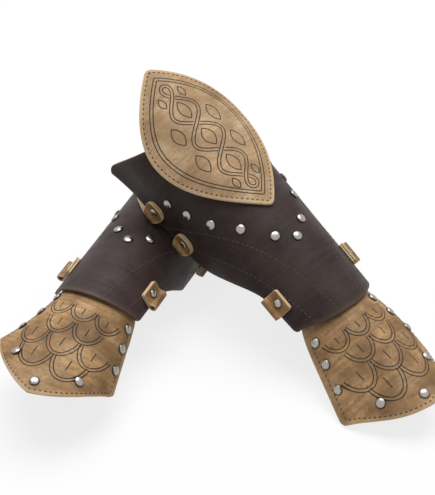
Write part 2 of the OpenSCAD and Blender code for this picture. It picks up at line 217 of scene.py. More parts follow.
class Bracer:
    """One bracer. Points on its leather are x along the arm, s round from the middle, h above"""

    # Gaps under the elbow plate, and between the shell and the hand plate's tail
    PLATE_SEAT = 0.5 * MM
    TAIL_SLACK = 0.4 * MM
    # The elbow plate turns about this share of the reach of its lower tip
    LEAF_PIN = 0.6
    # Chevron rivets: shares of the shell's length, and mm round from the middle
    CHEVRON_TIP = 0.635
    CHEVRON = ((0.581, 17), (0.467, 37), (0.366, 56), (0.262, 69.5), (0.166, 79.5))
    # Loops: shares of the shell's length, and how they move from the common line
    LOOPS = (0.133, 0.323, 0.798)
    WRIST_LOOP_OUT = 2.5 * MM
    ROUND_LOOP_IN = 4.5 * MM
    # Rivets of the hand plate: along each side, at the corners, and from the end
    HAND_FIRST = 4.5 * MM
    HAND_SHARES = (0.345, 0.66)
    HAND_CORNER = 5 * MM
    HAND_CORNER_TURN = math.radians(31)
    HAND_LAST = 1 * MM
    # The middle of the hand plate's leather stays this high above the table
    RESTS_AT = 1.9 * MM
    # The flare of the upper shell's elbow corners, and how far from the edge it starts
    FLARE = 4 * MM
    FLARE_REACH = 30 * MM
    # How far round its corner an end edge starts to bow
    BOW_FROM = math.radians(15)
    # The warp of the hand plate starts near its margin and stops growing here
    MARGIN_STOP = 1.15

    def __init__(self, prefix, near, own, sizes, fittings):
        self.prefix = prefix
        self.near = near
        self.own = own
        self.sizes = sizes
        self.fittings = fittings
        self.rolled = prefix == "rear"
        self.slope = math.atan((own.elbow_radius - own.wrist_radius) / sizes.shell_length)
        self.hand_radius = own.wrist_radius - sizes.shell_thick - self.TAIL_SLACK
        self.world = (moved(*own.start) @ turned("Z", own.yaw) @ turned("Y", own.pitch)
                      @ turned("X", own.roll))
        self.leaf_world = self.world @ self.leaf_frame()
        self.hand_world = self.world @ self.hand_frame()

    def shell_radius(self, x):
        return self.own.elbow_radius - x * math.tan(self.slope)

    def edge_height(self, x):
        z = self.sizes
        k = min(1.0, max(0.0, (x - z.waist_from) / (z.waist_to - z.waist_from)))
        rise = self.own.edge_depth + self.own.edge_height
        return -self.own.edge_depth + rise * (1 - math.cos(math.pi * k)) / 2

    def edge_arc(self, x):
        r = self.shell_radius(x)
        height = self.edge_height(x)
        if self.rolled or height > 0:
            return r * math.acos(height / r)
        return r * math.pi / 2 - height

    def shell_local(self, x, s, h):
        r = self.shell_radius(x)
        quarter = math.inf if self.rolled else r * math.pi / 2
        turn = min(abs(s), quarter) / r
        return Vector((x, math.copysign((r + h) * math.sin(turn), s),
                       (r + h) * math.cos(turn) - max(0.0, abs(s) - quarter)))

    def shell(self, x, s, h):
        if not self.rolled and x < 0:
            edge = max(0.0, 1 - (self.edge_arc(x) - abs(s)) / self.FLARE_REACH)
            h += self.FLARE * edge ** 2 * (-x / self.sizes.elbow_scoop) ** 1.5
        return self.world @ self.shell_local(x, s, h)

    def end_line(self, s, sign, middle, seen_at, outermost, corner, low):
        """Where an end edge of the shell is, at s round: a bow that ends in a round corner"""
        centre, level = outermost - sign * corner, low + corner
        height = self.shell_local(seen_at, s, 0).z
        start = level + corner * math.sin(self.BOW_FROM)
        if height > start:
            bow = centre + sign * corner * math.cos(self.BOW_FROM)
            return bow + (middle - bow) * (height - start) / (self.shell_radius(middle) - start)
        return centre + sign * math.sqrt(max(0.0, corner ** 2 - (height - level) ** 2))

    def wrist_line(self, s):
        z = self.sizes
        full = z.shell_length
        return self.end_line(s, 1, full, full, full - z.wrist_bow, z.wrist_corner,
                             self.own.edge_height)

    def elbow_line(self, s):
        z = self.sizes
        reach = -z.elbow_scoop
        return self.end_line(s, -1, 0.0, reach, reach, z.elbow_corner, -self.own.edge_depth)

    def leaf_frame(self):
        z = self.sizes
        pin = self.LEAF_PIN * z.leaf_tip
        roll = math.asin((z.leaf_tip - pin) * math.sin(z.leaf_turn) / self.own.elbow_radius)
        return (turned("X", -self.near * roll) @ moved(pin, 0, 0)
                @ turned("Z", -self.near * z.leaf_turn)
                @ moved(-pin, 0, self.own.elbow_radius + self.PLATE_SEAT)
                @ turned("Y", self.slope - z.leaf_open)
                @ moved(0, 0, z.leaf_thick - z.leaf_radius))

    def leaf_curve(self, x):
        return self.sizes.leaf_radius - x * math.tan(self.sizes.leaf_open)

    def leaf(self, x, s, h):
        return self.leaf_world @ on_cone(self.leaf_curve(x), x, s, h)

    def hand_frame(self):
        z = self.sizes
        start = Vector((z.shell_length, 0, self.hand_radius))
        hinge = start
        if self.own.hand_bend < 0:
            hinge = start + Vector((-z.hand_tail, 0, z.hand_tail * math.tan(self.slope)))
        return (turned("X", self.own.hand_turn) @ moved(*hinge) @ turned("Y", -self.own.hand_bend)
                @ moved(*(start - hinge)) @ turned("Y", self.own.hand_open + self.slope)
                @ moved(0, 0, -self.hand_radius))

    def hand_curve(self, x):
        return self.hand_radius + x * math.tan(self.own.hand_open)

    def hand(self, x, s, h):
        """A place on the hand plate, whose margins and corners are bent a little"""
        own, z = self.own, self.sizes
        r = self.hand_curve(x)
        reach = max(0.0, x / z.hand_side)
        half = (z.hand_wrist + (z.hand_end - z.hand_wrist) * min(1.0, reach)) / 2
        near = max(0.0, self.near * s / half)
        far = max(0.0, -self.near * s / half)
        margin = min(near, self.MARGIN_STOP) ** 5
        s += self.near * own.near_wide * margin
        x += reach ** 2 * (z.hand_push + own.near_reach * near ** 1.5 + own.far_reach * far ** 1.5)
        bent = reach * (own.near_lift * margin + own.far_lift * reach * far ** 2)
        point = self.hand_world @ on_cone(r, x, s, bent + h)
        middle = self.hand_world @ on_cone(r, x, s, bent - z.hand_thick / 2)
        point.z += max(0.0, self.RESTS_AT - middle.z)
        return point

    def chevron_places(self):
        full = self.sizes.shell_length
        arms = [(share * full, side * arc * MM) for side in (-1, 1) for share, arc in self.CHEVRON]
        return [(self.CHEVRON_TIP * full, 0.0)] + arms

    def loop_place(self, i):
        x = self.LOOPS[i] * self.sizes.shell_length
        out = self.WRIST_LOOP_OUT if i == 2 else -self.ROUND_LOOP_IN if self.rolled else 0.0
        return x, self.edge_arc(x) - self.fittings.loop_inset + out

    def hand_places(self):
        z = self.sizes
        inset = self.fittings.rivet_inset
        places = [(z.hand_length - inset - self.HAND_LAST, 0.0)]
        for side in (-1, 1):
            for x in (self.HAND_FIRST, *(share * z.hand_side for share in self.HAND_SHARES)):
                y = z.hand_wrist / 2 + (z.hand_end - z.hand_wrist) / 2 * x / z.hand_side
                r = self.hand_curve(x)
                places.append((x, side * (r * math.asin(y / r) - inset)))
            x = z.hand_side + self.HAND_CORNER
            places.append((x, side * self.hand_curve(x) * self.HAND_CORNER_TURN))
        return places


# Helpers for meshes

def add_object(name, mesh):
    obj = bpy.data.objects.new(name, mesh)
    bpy.context.scene.collection.objects.link(obj)
    return obj


def solid_of(name, mesh):
    data = bpy.data.meshes.new(name)
    mesh.to_mesh(data)
    mesh.free()
    return add_object(name, data)


def smooth_through(points, steps):
    """Points on a smooth curve through the given ones"""
    out = []
    last = len(points) - 1
    for i in range(last):
        a, b, c, d = (Vector(points[max(0, min(last, j))]) for j in (i - 1, i, i + 1, i + 2))
        for n in range(steps):
            t = n / steps
            out.append(0.5 * (2 * b + (c - a) * t + (2 * a - 5 * b + 4 * c - d) * t * t
                              + (3 * b - a - 3 * c + d) * t ** 3))
    out.append(Vector(points[last]))
    return out


def rounded_off(points):
    """An open outline with its corners cut three times over"""
    line = [Vector(p) for p in points]
    for _ in range(3):
        cut = [line[0]]
        for a, b in zip(line, line[1:]):
            cut += [a.lerp(b, 0.25), a.lerp(b, 0.75)]
        line = cut + [line[-1]]
    return line


def look_up(points, x):
    """The second value of a curve at its first value x"""
    for a, b in zip(points, points[1:]):
        if x <= b[0]:
            return a[1] + (b[1] - a[1]) * (x - a[0]) / max(b[0] - a[0], 1e-9)
    return points[-1][1]


def drawn_in(points, inset):
    """Half an outline, drawn in by the inset, as a curve of half widths"""
    out = []
    for i, p in enumerate(points):
        along = points[min(i + 1, len(points) - 1)] - points[max(i - 1, 0)]
        outward = Vector((-along.y, along.x)).normalized()
        q = p - inset * outward
        if q.y > -1e-6 and (not out or q.x > out[-1][0] + 1e-6):
            out.append((q.x, max(0.0, q.y)))
    return out


# The wear of an edge fades over this distance
WORN_REACH = 2.6 * MM
# Values of the "side" attribute on the outer face, the cut edge and the flesh side
FACE, EDGE, BACK = 0.0, 1.0, 2.0
UV_PER_METRE = 10


def rim_of(rows, columns):
    """The places round the rim of a grid, in order"""
    return ([(0, j) for j in range(columns)] + [(i, columns - 1) for i in range(1, rows)]
            + [(rows - 1, j) for j in range(columns - 2, -1, -1)]
            + [(i, 0) for i in range(rows - 2, 0, -1)])


def outward_of(outline):
    """The direction out of a closed flat outline at each of its points"""
    count = len(outline)
    area = sum(outline[k].cross(outline[(k + 1) % count]) for k in range(count))
    outward = []
    for k in range(count):
        along = outline[(k + 2) % count] - outline[k - 2]
        normal = Vector((along.y, -along.x)).normalized()
        outward.append(normal if area > 0 else -normal)
    return outward


def leather_sheet(name, grid, surface, thick, edge, material):
    """A sheet of leather with rounded cut edges. grid is rows of flat places on its outer face"""
    rows, columns = len(grid), len(grid[0])
    rim = rim_of(rows, columns)
    flat_rim = [Vector(grid[i][j]) for i, j in rim]
    outward = outward_of(flat_rim)
    count = len(rim)
    turns = [math.radians(a) for a in (22, 45, 68, 90)]
    profile = [(edge * math.sin(a), -edge * (1 - math.cos(a))) for a in turns]
    profile += [(out, -thick - h) for out, h in reversed(profile)]
    mesh = bmesh.new()
    side = mesh.verts.layers.float.new("side")
    wear = mesh.verts.layers.float.new("wear")
    rim_tree = KDTree(count)
    for k, p in enumerate(flat_rim):
        rim_tree.insert((p.x, p.y, 0), k)
    rim_tree.balance()
    uv = mesh.loops.layers.uv.new("flat")
    flat_of = {}

    def point(x, s, h, kind):
        vertex = mesh.verts.new(surface(x, s, h))
        vertex[side] = kind
        vertex[wear] = 1.0 if kind else math.exp(-(rim_tree.find((x, s, 0))[2] / WORN_REACH) ** 2)
        flat_of[vertex] = (x * UV_PER_METRE, s * UV_PER_METRE)
        return vertex

    front = [[point(x, s, 0.0, FACE) for x, s in row] for row in grid]
    back = [[point(x, s, -thick, BACK) for x, s in row] for row in grid]
    rings = [[front[i][j] for i, j in rim]]
    for out, h in profile:
        rings.append([point(*(p + out * n), h, EDGE) for p, n in zip(flat_rim, outward)])
    rings.append([back[i][j] for i, j in rim])
    for i in range(rows - 1):
        for j in range(columns - 1):
            for layer in (front, back):
                mesh.faces.new((layer[i][j], layer[i + 1][j], layer[i + 1][j + 1], layer[i][j + 1]))
    for upper, lower in zip(rings, rings[1:]):
        for k in range(count):
            n = (k + 1) % count
            mesh.faces.new((upper[k], upper[n], lower[n], lower[k]))
    bmesh.ops.recalc_face_normals(mesh, faces=mesh.faces)
    for face in mesh.faces:
        face.smooth = True
        for loop in face.loops:
            loop[uv].uv = flat_of[loop.vert]
    obj = solid_of(name, mesh)
    obj.data.materials.append(MATERIALS[material])
    return obj


LEAST_HALF = 0.3 * MM


def close_at_ends(low, high, steps):
    """Places from low to high that lie closer together near both"""
    return [low + (high - low) * (1 - math.cos(math.pi * k / steps)) / 2 for k in range(steps + 1)]


def plate_grid(widths, curve, rows, columns):
    """Flat places on a plate whose half width is cut straight across"""
    grid = []
    for x in close_at_ends(widths[0][0], widths[-1][0], rows):
        r = curve(x)
        half = max(LEAST_HALF, look_up(widths, x))
        grid.append([(x, r * math.asin((2 * j / columns - 1) * half / r))
                     for j in range(columns + 1)])
    return grid


def dimples(places, reach, depth):
    """How far the leather is pressed in near the rivets"""
    def dip(x, s):
        total = 0.0
        for px, ps in places:
            gap = math.hypot(x - px, s - ps)
            if gap < 3 * reach:
                total += depth * math.exp(-(gap / reach) ** 2)
        return total
    return dip


def surface_axes(surface, x, s):
    """The place, and the directions along, round and out of a surface"""
    step = 0.2 * MM
    origin = surface(x, s, 0.0)
    along = (surface(x + step, s, 0.0) - origin).normalized()
    out = (surface(x, s, step) - origin).normalized()
    out = (out - along * out.dot(along)).normalized()
    return origin, along, out.cross(along), out


# Materials. Scales of noise are in cycles per metre, those of streaks in cycles per 10 cm

SHELL_LOOK = {"rough": 0.48, "clouds": 26.0, "streaks": 14.0, "grain": 900.0, "bump": 0.20,
              "specular": 0.17, "worn": 0.3}
PLATE_LOOK = {"rough": 0.66, "clouds": 34.0, "streaks": 30.0, "grain": 1100.0, "bump": 0.22,
              "specular": 0.28, "worn": 0.5}
HAND_LOOK = {"rough": 0.62, "clouds": 38.0, "streaks": 30.0, "grain": 1100.0, "bump": 0.24,
             "specular": 0.30, "worn": 0.35}
STRAP_LOOK = {"rough": 0.52, "clouds": 120.0, "streaks": 60.0, "grain": 1100.0, "bump": 0.22,
              "specular": 0.33, "worn": 0.12}
WARM = (0.97, 0.80, 0.58)
SPECKS = 330.0
SMEARS = 60.0
PORE_DEPTH = 0.3 * MM


def node_at(tree, kind, **values):
    node = tree.nodes.new(kind)
    for name, value in values.items():
        setattr(node, name, value)
    return node


def noise_on(tree, source, scale, detail, stretch=(1, 1, 1)):
    mapping = node_at(tree, "ShaderNodeMapping")
    mapping.inputs["Scale"].default_value = stretch
    noise = node_at(tree, "ShaderNodeTexNoise")
    noise.inputs["Scale"].default_value = scale
    noise.inputs["Detail"].default_value = detail
    tree.links.new(source, mapping.inputs["Vector"])
    tree.links.new(mapping.outputs["Vector"], noise.inputs["Vector"])
    return noise.outputs["Fac"]


def spread(tree, value, low, high, to_low=0.0, to_high=1.0):
    node = node_at(tree, "ShaderNodeMapRange")
    names = ("From Min", "From Max", "To Min", "To Max")
    for name, number in zip(names, (low, high, to_low, to_high)):
        node.inputs[name].default_value = number
    tree.links.new(value, node.inputs["Value"])
    return node.outputs["Result"]


def blend_colours(tree, share, first, second):
    node = node_at(tree, "ShaderNodeMix", data_type="RGBA")
    tree.links.new(share, node.inputs[0])
    for value, socket in ((first, node.inputs[6]), (second, node.inputs[7])):
        if hasattr(value, "links"):
            tree.links.new(value, socket)
        else:
            socket.default_value = value
    return node.outputs[2]


def tinted(tone, shares):
    return tuple(v * share for v, share in zip(tone[:3], shares)) + (1.0,)


def new_material(name):
    material = bpy.data.materials.new(name)
    material.use_nodes = True
    tree = material.node_tree
    return material, tree, tree.nodes["Principled BSDF"]


def attribute(tree, name):
    return node_at(tree, "ShaderNodeAttribute", attribute_name=name).outputs["Fac"]


def object_place(tree):
    return node_at(tree, "ShaderNodeTexCoord").outputs["Object"]


def leather_colour(tree, here, look, main, dark, cut, back):
    """Clouds, warm patches, streaks along the hide and specks, then the worn and cut edges"""
    warm = tinted(main, WARM)
    uv = node_at(tree, "ShaderNodeUVMap", uv_map="flat").outputs["UV"]
    clouds = spread(tree, noise_on(tree, here, look["clouds"], 5.0), 0.36, 0.66)
    patches = spread(tree, noise_on(tree, here, 1.7 * look["clouds"], 2.0, (0.8, 1.0, 1.3)),
                     0.42, 0.70, 0.0, 0.6)
    streaks = spread(tree, noise_on(tree, uv, look["streaks"], 4.0, (1.0, 0.12, 1.0)),
                     0.45, 0.72, 0.0, 0.7)
    specks = spread(tree, noise_on(tree, here, SPECKS, 5.0), 0.50, 0.68, 0.0, 0.5)
    base = blend_colours(tree, patches, main, warm)
    for share in (clouds, streaks, specks):
        base = blend_colours(tree, share, base, dark)
    worn = spread(tree, attribute(tree, "wear"), 0.0, 1.0, 0.0, look["worn"])
    base = blend_colours(tree, worn, base, cut)
    side = attribute(tree, "side")
    base = blend_colours(tree, spread(tree, side, 0.35, 0.95), base, cut)
    return blend_colours(tree, spread(tree, side, 1.1, 1.8), base, back)


def leather_material(name, look, *tones):
    """Leather whose cut edge and flesh side have their own colours"""
    material, tree, shader = new_material(name)
    here = object_place(tree)
    tree.links.new(leather_colour(tree, here, look, *tones), shader.inputs["Base Color"])
    pores = node_at(tree, "ShaderNodeTexVoronoi")
    pores.inputs["Scale"].default_value = look["grain"]
    tree.links.new(here, pores.inputs["Vector"])
    fine = noise_on(tree, here, 0.8 * look["grain"], 6.0)
    height = node_at(tree, "ShaderNodeMath", operation="ADD")
    tree.links.new(pores.outputs["Distance"], height.inputs[0])
    tree.links.new(fine, height.inputs[1])
    relief = node_at(tree, "ShaderNodeBump")
    relief.inputs["Strength"].default_value = look["bump"]
    relief.inputs["Distance"].default_value = PORE_DEPTH
    tree.links.new(height.outputs[0], relief.inputs["Height"])
    tree.links.new(relief.outputs["Normal"], shader.inputs["Normal"])
    gloss = spread(tree, noise_on(tree, here, SMEARS, 3.0), 0.3, 0.7,
                   look["rough"] - 0.06, look["rough"] + 0.10)
    tree.links.new(gloss, shader.inputs["Roughness"])
    shader.inputs["Specular IOR Level"].default_value = look["specular"]
    return material


def nickel_material(tones):
    material, tree, shader = new_material("nickel")
    wear = spread(tree, noise_on(tree, object_place(tree), 900.0, 4.0), 0.35, 0.7)
    bright = blend_colours(tree, wear, tones.nickel, tinted(tones.nickel, (0.7, 0.7, 0.7)))
    # The rim band is painted shade: the nickel darkens towards the cap's edge
    tone = blend_colours(tree, attribute(tree, "rim"), bright, tones.rim_shade)
    tree.links.new(tone, shader.inputs["Base Color"])
    tree.links.new(spread(tree, wear, 0.0, 1.0, 0.20, 0.34), shader.inputs["Roughness"])
    shader.inputs["Metallic"].default_value = 1.0
    return material


def thread_material(name, tone):
    material, tree, shader = new_material(name)
    twist = spread(tree, noise_on(tree, object_place(tree), 1500.0, 2.0), 0.35, 0.65)
    mottled = blend_colours(tree, twist, tone, tinted(tone, (0.45, 0.45, 0.45)))
    tree.links.new(mottled, shader.inputs["Base Color"])
    shader.inputs["Roughness"].default_value = 0.8
    return material


def make_materials(tones):
    tan = (tones.plate_cut, tones.plate_back)
    return {
        "shell": leather_material("shell_leather", SHELL_LOOK, tones.shell, tones.shell_worn,
                                  tones.shell_cut, tones.shell_back),
        "plate": leather_material("plate_leather", PLATE_LOOK, tones.plate, tones.plate_dark, *tan),
        "hand": leather_material("hand_leather", HAND_LOOK, tones.hand, tones.hand_dark, *tan),
        "strap": leather_material("loop_leather", STRAP_LOOK, tones.strap, tones.strap_dark, *tan),
        "nickel": nickel_material(tones),
        "burnish_and_shade": thread_material("tooled_line", tones.burnish_and_shade),
        "thread": thread_material("plate_thread", tones.thread),
        "shell_thread": thread_material("shell_thread", tones.shell_thread),
        "groove": thread_material("seam_groove", tones.groove_shade),
    }


# Geometry Nodes for what repeats or follows a path

BEAD_SIDES = 8


def new_tree(name, **inputs):
    tree = bpy.data.node_groups.new(name, "GeometryNodeTree")
    for label, kind in {"Geometry": "Geometry", **inputs}.items():
        tree.interface.new_socket(label, in_out="INPUT", socket_type="NodeSocket" + kind)
    tree.interface.new_socket("Geometry", in_out="OUTPUT", socket_type="NodeSocketGeometry")
    return tree, tree.nodes.new("NodeGroupInput"), tree.nodes.new("NodeGroupOutput")


def end_tree(tree, geometry, material, result):
    real = tree.nodes.new("GeometryNodeRealizeInstances")
    paint = tree.nodes.new("GeometryNodeSetMaterial")
    tree.links.new(geometry, real.inputs["Geometry"])
    tree.links.new(real.outputs["Geometry"], paint.inputs["Geometry"])
    tree.links.new(material, paint.inputs["Material"])
    tree.links.new(paint.outputs["Geometry"], result.inputs["Geometry"])


def named_vector(tree, name):
    node = node_at(tree, "GeometryNodeInputNamedAttribute", data_type="FLOAT_VECTOR")
    node.inputs["Name"].default_value = name
    return node.outputs["Attribute"]


def aligned(tree, axis, vector, rotation=None):
    node = node_at(tree, "FunctionNodeAlignRotationToVector", axis=axis)
    if rotation is not None:
        node.pivot_axis = "X"
        tree.links.new(rotation, node.inputs["Rotation"])
    tree.links.new(vector, node.inputs["Vector"])
    return node.outputs["Rotation"]


def rivet_tree():
    """Puts a cap on each point, along its outward direction, at its own size"""
    tree, given, result = new_tree("rivets", Cap="Object", Material="Material")
    cap = tree.nodes.new("GeometryNodeObjectInfo")
    spots = tree.nodes.new("GeometryNodeInstanceOnPoints")
    size = node_at(tree, "GeometryNodeInputNamedAttribute", data_type="FLOAT")
    size.inputs["Name"].default_value = "size"
    tree.links.new(given.outputs["Cap"], cap.inputs["Object"])
    tree.links.new(given.outputs["Geometry"], spots.inputs["Points"])
    tree.links.new(cap.outputs["Geometry"], spots.inputs["Instance"])
    tree.links.new(aligned(tree, "Z", named_vector(tree, "outward")), spots.inputs["Rotation"])
    tree.links.new(size.outputs["Attribute"], spots.inputs["Scale"])
    end_tree(tree, spots.outputs["Instances"], given.outputs["Material"], result)
    return tree


def stitch_tree():
    """Lays a stitch at every pitch along each path"""
    tree, given, result = new_tree("stitches", Stitch="Object", Pitch="Float", Material="Material")
    path = tree.nodes.new("GeometryNodeMeshToCurve")
    even = node_at(tree, "GeometryNodeResampleCurve", mode="LENGTH")
    stitch = tree.nodes.new("GeometryNodeObjectInfo")
    spots = tree.nodes.new("GeometryNodeInstanceOnPoints")
    tangent = tree.nodes.new("GeometryNodeInputTangent")
    tree.links.new(given.outputs["Geometry"], path.inputs["Mesh"])
    tree.links.new(path.outputs["Curve"], even.inputs["Curve"])
    tree.links.new(given.outputs["Pitch"], even.inputs["Length"])
    tree.links.new(given.outputs["Stitch"], stitch.inputs["Object"])
    tree.links.new(even.outputs["Curve"], spots.inputs["Points"])
    tree.links.new(stitch.outputs["Geometry"], spots.inputs["Instance"])
    along = aligned(tree, "X", tangent.outputs["Tangent"])
    turn = aligned(tree, "Z", named_vector(tree, "outward"), along)
    tree.links.new(turn, spots.inputs["Rotation"])
    end_tree(tree, spots.outputs["Instances"], given.outputs["Material"], result)
    return tree


def line_tree():
    """Runs a round bead along each path"""
    tree, given, result = new_tree("tooled_lines", Radius="Float", Material="Material")
    path = tree.nodes.new("GeometryNodeMeshToCurve")
    ring = tree.nodes.new("GeometryNodeCurvePrimitiveCircle")
    ring.inputs["Resolution"].default_value = BEAD_SIDES
    bead = tree.nodes.new("GeometryNodeCurveToMesh")
    bead.inputs["Fill Caps"].default_value = True
    tree.links.new(given.outputs["Geometry"], path.inputs["Mesh"])
    tree.links.new(given.outputs["Radius"], ring.inputs["Radius"])
    tree.links.new(path.outputs["Curve"], bead.inputs["Curve"])
    tree.links.new(ring.outputs["Curve"], bead.inputs["Profile Curve"])
    end_tree(tree, bead.outputs["Mesh"], given.outputs["Material"], result)
    return tree


def grown(name, tree, mesh, slot, bracer, part, *nodes, **values):
    """Runs a tree on a mesh, keeps the result as a plain mesh and puts it on its body"""
    obj = add_object(f"{bracer.prefix}_{name}", mesh)
    modifier = obj.modifiers.new("grow", "NODES")
    modifier.node_group = tree
    for item in tree.interface.items_tree:
        if item.in_out == "INPUT" and item.name in values:
            modifier[item.identifier] = values[item.name]
    graph = bpy.context.evaluated_depsgraph_get()
    plain = bpy.data.meshes.new_from_object(obj.evaluated_get(graph))
    obj.modifiers.clear()
    obj.data = plain
    plain.shade_smooth()
    kept(obj, bracer, part, slot, *nodes)


def path_mesh(paths, surface, h):
    """Paths on a surface as a mesh of edges, with the outward direction at each point"""
    points, edges, outward = [], [], []
    for path in paths:
        first = len(points)
        for x, s in path:
            origin, _, _, out = surface_axes(surface, x, s)
            points.append(origin + h * out)
            outward.append(out)
        edges += [(k, k + 1) for k in range(first, len(points) - 1)]
    mesh = bpy.data.meshes.new("paths")
    mesh.from_pydata(points, edges, [])
    store = mesh.attributes.new("outward", "FLOAT_VECTOR", "POINT")
    for item, vector in zip(store.data, outward):
        item.vector = vector
    return mesh


def lathe(name, profile, steps):
    """A closed round solid from its profile of radius and height, top first"""
    mesh = bmesh.new()
    top = mesh.verts.new((0, 0, profile[0][1]))
    bottom = mesh.verts.new((0, 0, profile[-1][1]))
    rings = []
    for radius, height in profile[1:-1]:
        rings.append([mesh.verts.new((radius * math.cos(2 * math.pi * k / steps),
                                      radius * math.sin(2 * math.pi * k / steps), height))
                      for k in range(steps)])
    for k in range(steps):
        n = (k + 1) % steps
        mesh.faces.new((top, rings[0][k], rings[0][n]))
        mesh.faces.new((bottom, rings[-1][n], rings[-1][k]))
        for upper, lower in zip(rings, rings[1:]):
            mesh.faces.new((upper[k], lower[k], lower[n], upper[n]))
    return solid_of(name, mesh)


def kept(obj, bracer, part, slot, *nodes):
    """Puts a piece on its body, in place of the bracer's own nodes of these names"""
    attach(obj, f"{bracer.prefix}_{part}")
    if nodes:
        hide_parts(*(f"{bracer.prefix}_{node}" for node in nodes))


def both_bracers(context):
    scene = context.scene
    return [Bracer("front", -1, scene.bracer_upper, scene.bracer_leather, scene.bracer_fittings),
            Bracer("rear", 1, scene.bracer_lower, scene.bracer_leather, scene.bracer_fittings)]


MATERIALS = {}
CUT_EDGE = 0.9 * MM
LINE_STEPS = 120
# The gap under pieces that are fastened face to face
SEAT = 0.1 * MM


class BRACERS_OT_stage(bpy.types.Operator):
    """Adds the table, the light and the camera"""
    bl_idname = "bracers.stage"
    bl_label = "Stage"

    LOOK_AT = Vector((-5.5, 78, 0)) * MM
    DISTANCE = 1.5
    LOOK_DOWN = math.radians(40.5)
    LENS = 72.73
    SENSOR = 24.0
    TABLE = 12.0
    TABLE_TONE = 0.62
    # How much of the table that the camera sees is plain white, and how bright that is
    PALE = 0.75
    GLOW = 1.06
    SKY = 0.31
    LAMP_AT = Vector((0.0, 0.7, 2.1))
    LAMP_SIZE = (2.2, 1.6)
    LAMP_WATTS = 66.0

    def execute(self, context):
        scene = context.scene
        scene.view_settings.view_transform = "Standard"
        self.add_camera(scene)
        self.add_table()
        self.add_light(scene)
        return {"FINISHED"}

    def add_camera(self, scene):
        data = bpy.data.cameras.new("camera")
        data.sensor_fit = "VERTICAL"
        data.sensor_height = self.SENSOR
        data.lens = self.LENS
        camera = add_object("camera", data)
        away = Vector((0, -math.cos(self.LOOK_DOWN), math.sin(self.LOOK_DOWN)))
        camera.location = self.LOOK_AT + self.DISTANCE * away
        camera.rotation_euler = (math.pi / 2 - self.LOOK_DOWN, 0, 0)
        scene.camera = camera

    def add_table(self):
        half = self.TABLE / 2
        mesh = bpy.data.meshes.new("table")
        corners = [(-half, -half, 0), (half, -half, 0), (half, half, 0), (-half, half, 0)]
        mesh.from_pydata(corners, [], [(0, 1, 2, 3)])
        table = add_object("table", mesh)
        material, tree, shader = new_material("table")
        shader.inputs["Base Color"].default_value = (*[self.TABLE_TONE] * 3, 1)
        shader.inputs["Roughness"].default_value = 0.9
        glow = node_at(tree, "ShaderNodeEmission")
        share = node_at(tree, "ShaderNodeMath", operation="MULTIPLY")
        mix = node_at(tree, "ShaderNodeMixShader")
        tree.links.new(self.seen_rays(tree), share.inputs[0])
        share.inputs[1].default_value = self.PALE
        glow.inputs["Strength"].default_value = self.GLOW
        tree.links.new(share.outputs[0], mix.inputs[0])
        tree.links.new(shader.outputs[0], mix.inputs[1])
        tree.links.new(glow.outputs[0], mix.inputs[2])
        tree.links.new(mix.outputs[0], tree.nodes["Material Output"].inputs["Surface"])
        mesh.materials.append(material)

    def seen_rays(self, tree):
        """A value of one for what the camera sees, straight or in metal and glass"""
        rays = node_at(tree, "ShaderNodeLightPath")
        seen = rays.outputs["Is Camera Ray"]
        for name in ("Is Glossy Ray", "Is Transmission Ray"):
            either = node_at(tree, "ShaderNodeMath", operation="MAXIMUM")
            tree.links.new(seen, either.inputs[0])
            tree.links.new(rays.outputs[name], either.inputs[1])
            seen = either.outputs[0]
        return seen

    def add_light(self, scene):
        world = bpy.data.worlds.new("studio")
        scene.world = world
        world.use_nodes = True
        tree = world.node_tree
        sky = tree.nodes["Background"]
        sky.inputs["Strength"].default_value = self.SKY
        white = node_at(tree, "ShaderNodeBackground")
        choose = node_at(tree, "ShaderNodeMixShader")
        tree.links.new(self.seen_rays(tree), choose.inputs[0])
        tree.links.new(sky.outputs[0], choose.inputs[1])
        tree.links.new(white.outputs[0], choose.inputs[2])
        tree.links.new(choose.outputs[0], tree.nodes["World Output"].inputs["Surface"])
        sky.inputs["Color"].default_value = (1, 1, 1, 1)
        white.inputs["Color"].default_value = (1, 1, 1, 1)
        lamp = bpy.data.lights.new("softbox", "AREA")
        lamp.shape = "RECTANGLE"
        lamp.size, lamp.size_y = self.LAMP_SIZE
        lamp.energy = self.LAMP_WATTS
        softbox = add_object("softbox", lamp)
        softbox.location = self.LAMP_AT
        softbox.rotation_euler = (-self.LAMP_AT).to_track_quat("-Z", "Y").to_euler()


class BRACERS_OT_shells(bpy.types.Operator):
    """Makes the two dark forearm shells"""
    bl_idname = "bracers.shells"
    bl_label = "Forearm shells"

    ROWS = 110
    COLUMNS = 130

    def execute(self, context):
        for bracer in both_bracers(context):
            full = bracer.sizes.shell_length
            ends = []
            for j in range(self.COLUMNS + 1):
                v = 2 * j / self.COLUMNS - 1
                ends.append((v, bracer.elbow_line(v * bracer.edge_arc(0)) + CUT_EDGE,
                             bracer.wrist_line(v * bracer.edge_arc(full)) - CUT_EDGE))
            grid = []
            for i in range(self.ROWS + 1):
                xs = [(v, low + (high - low) * i / self.ROWS) for v, low, high in ends]
                grid.append([(x, v * (bracer.edge_arc(x) - CUT_EDGE)) for v, x in xs])
            obj = leather_sheet(f"{bracer.prefix}_forearm_leather", grid, bracer.shell,
                                bracer.sizes.shell_thick, CUT_EDGE, "shell")
            kept(obj, bracer, "bracer", "shell_leather", "forearm_shell")
        return {"FINISHED"}


def inner_line(half, curve, inset):
    """One side of a line inside a plate's outline"""
    widths = [p for p in drawn_in(half, inset) if p[1] > 0]
    return [(x, curve(x) * math.asin(look_up(widths, x) / curve(x)))
            for x in close_at_ends(widths[0][0], widths[-1][0], LINE_STEPS)]


def closed(line):
    return line + [(x, -s) for x, s in reversed(line)]


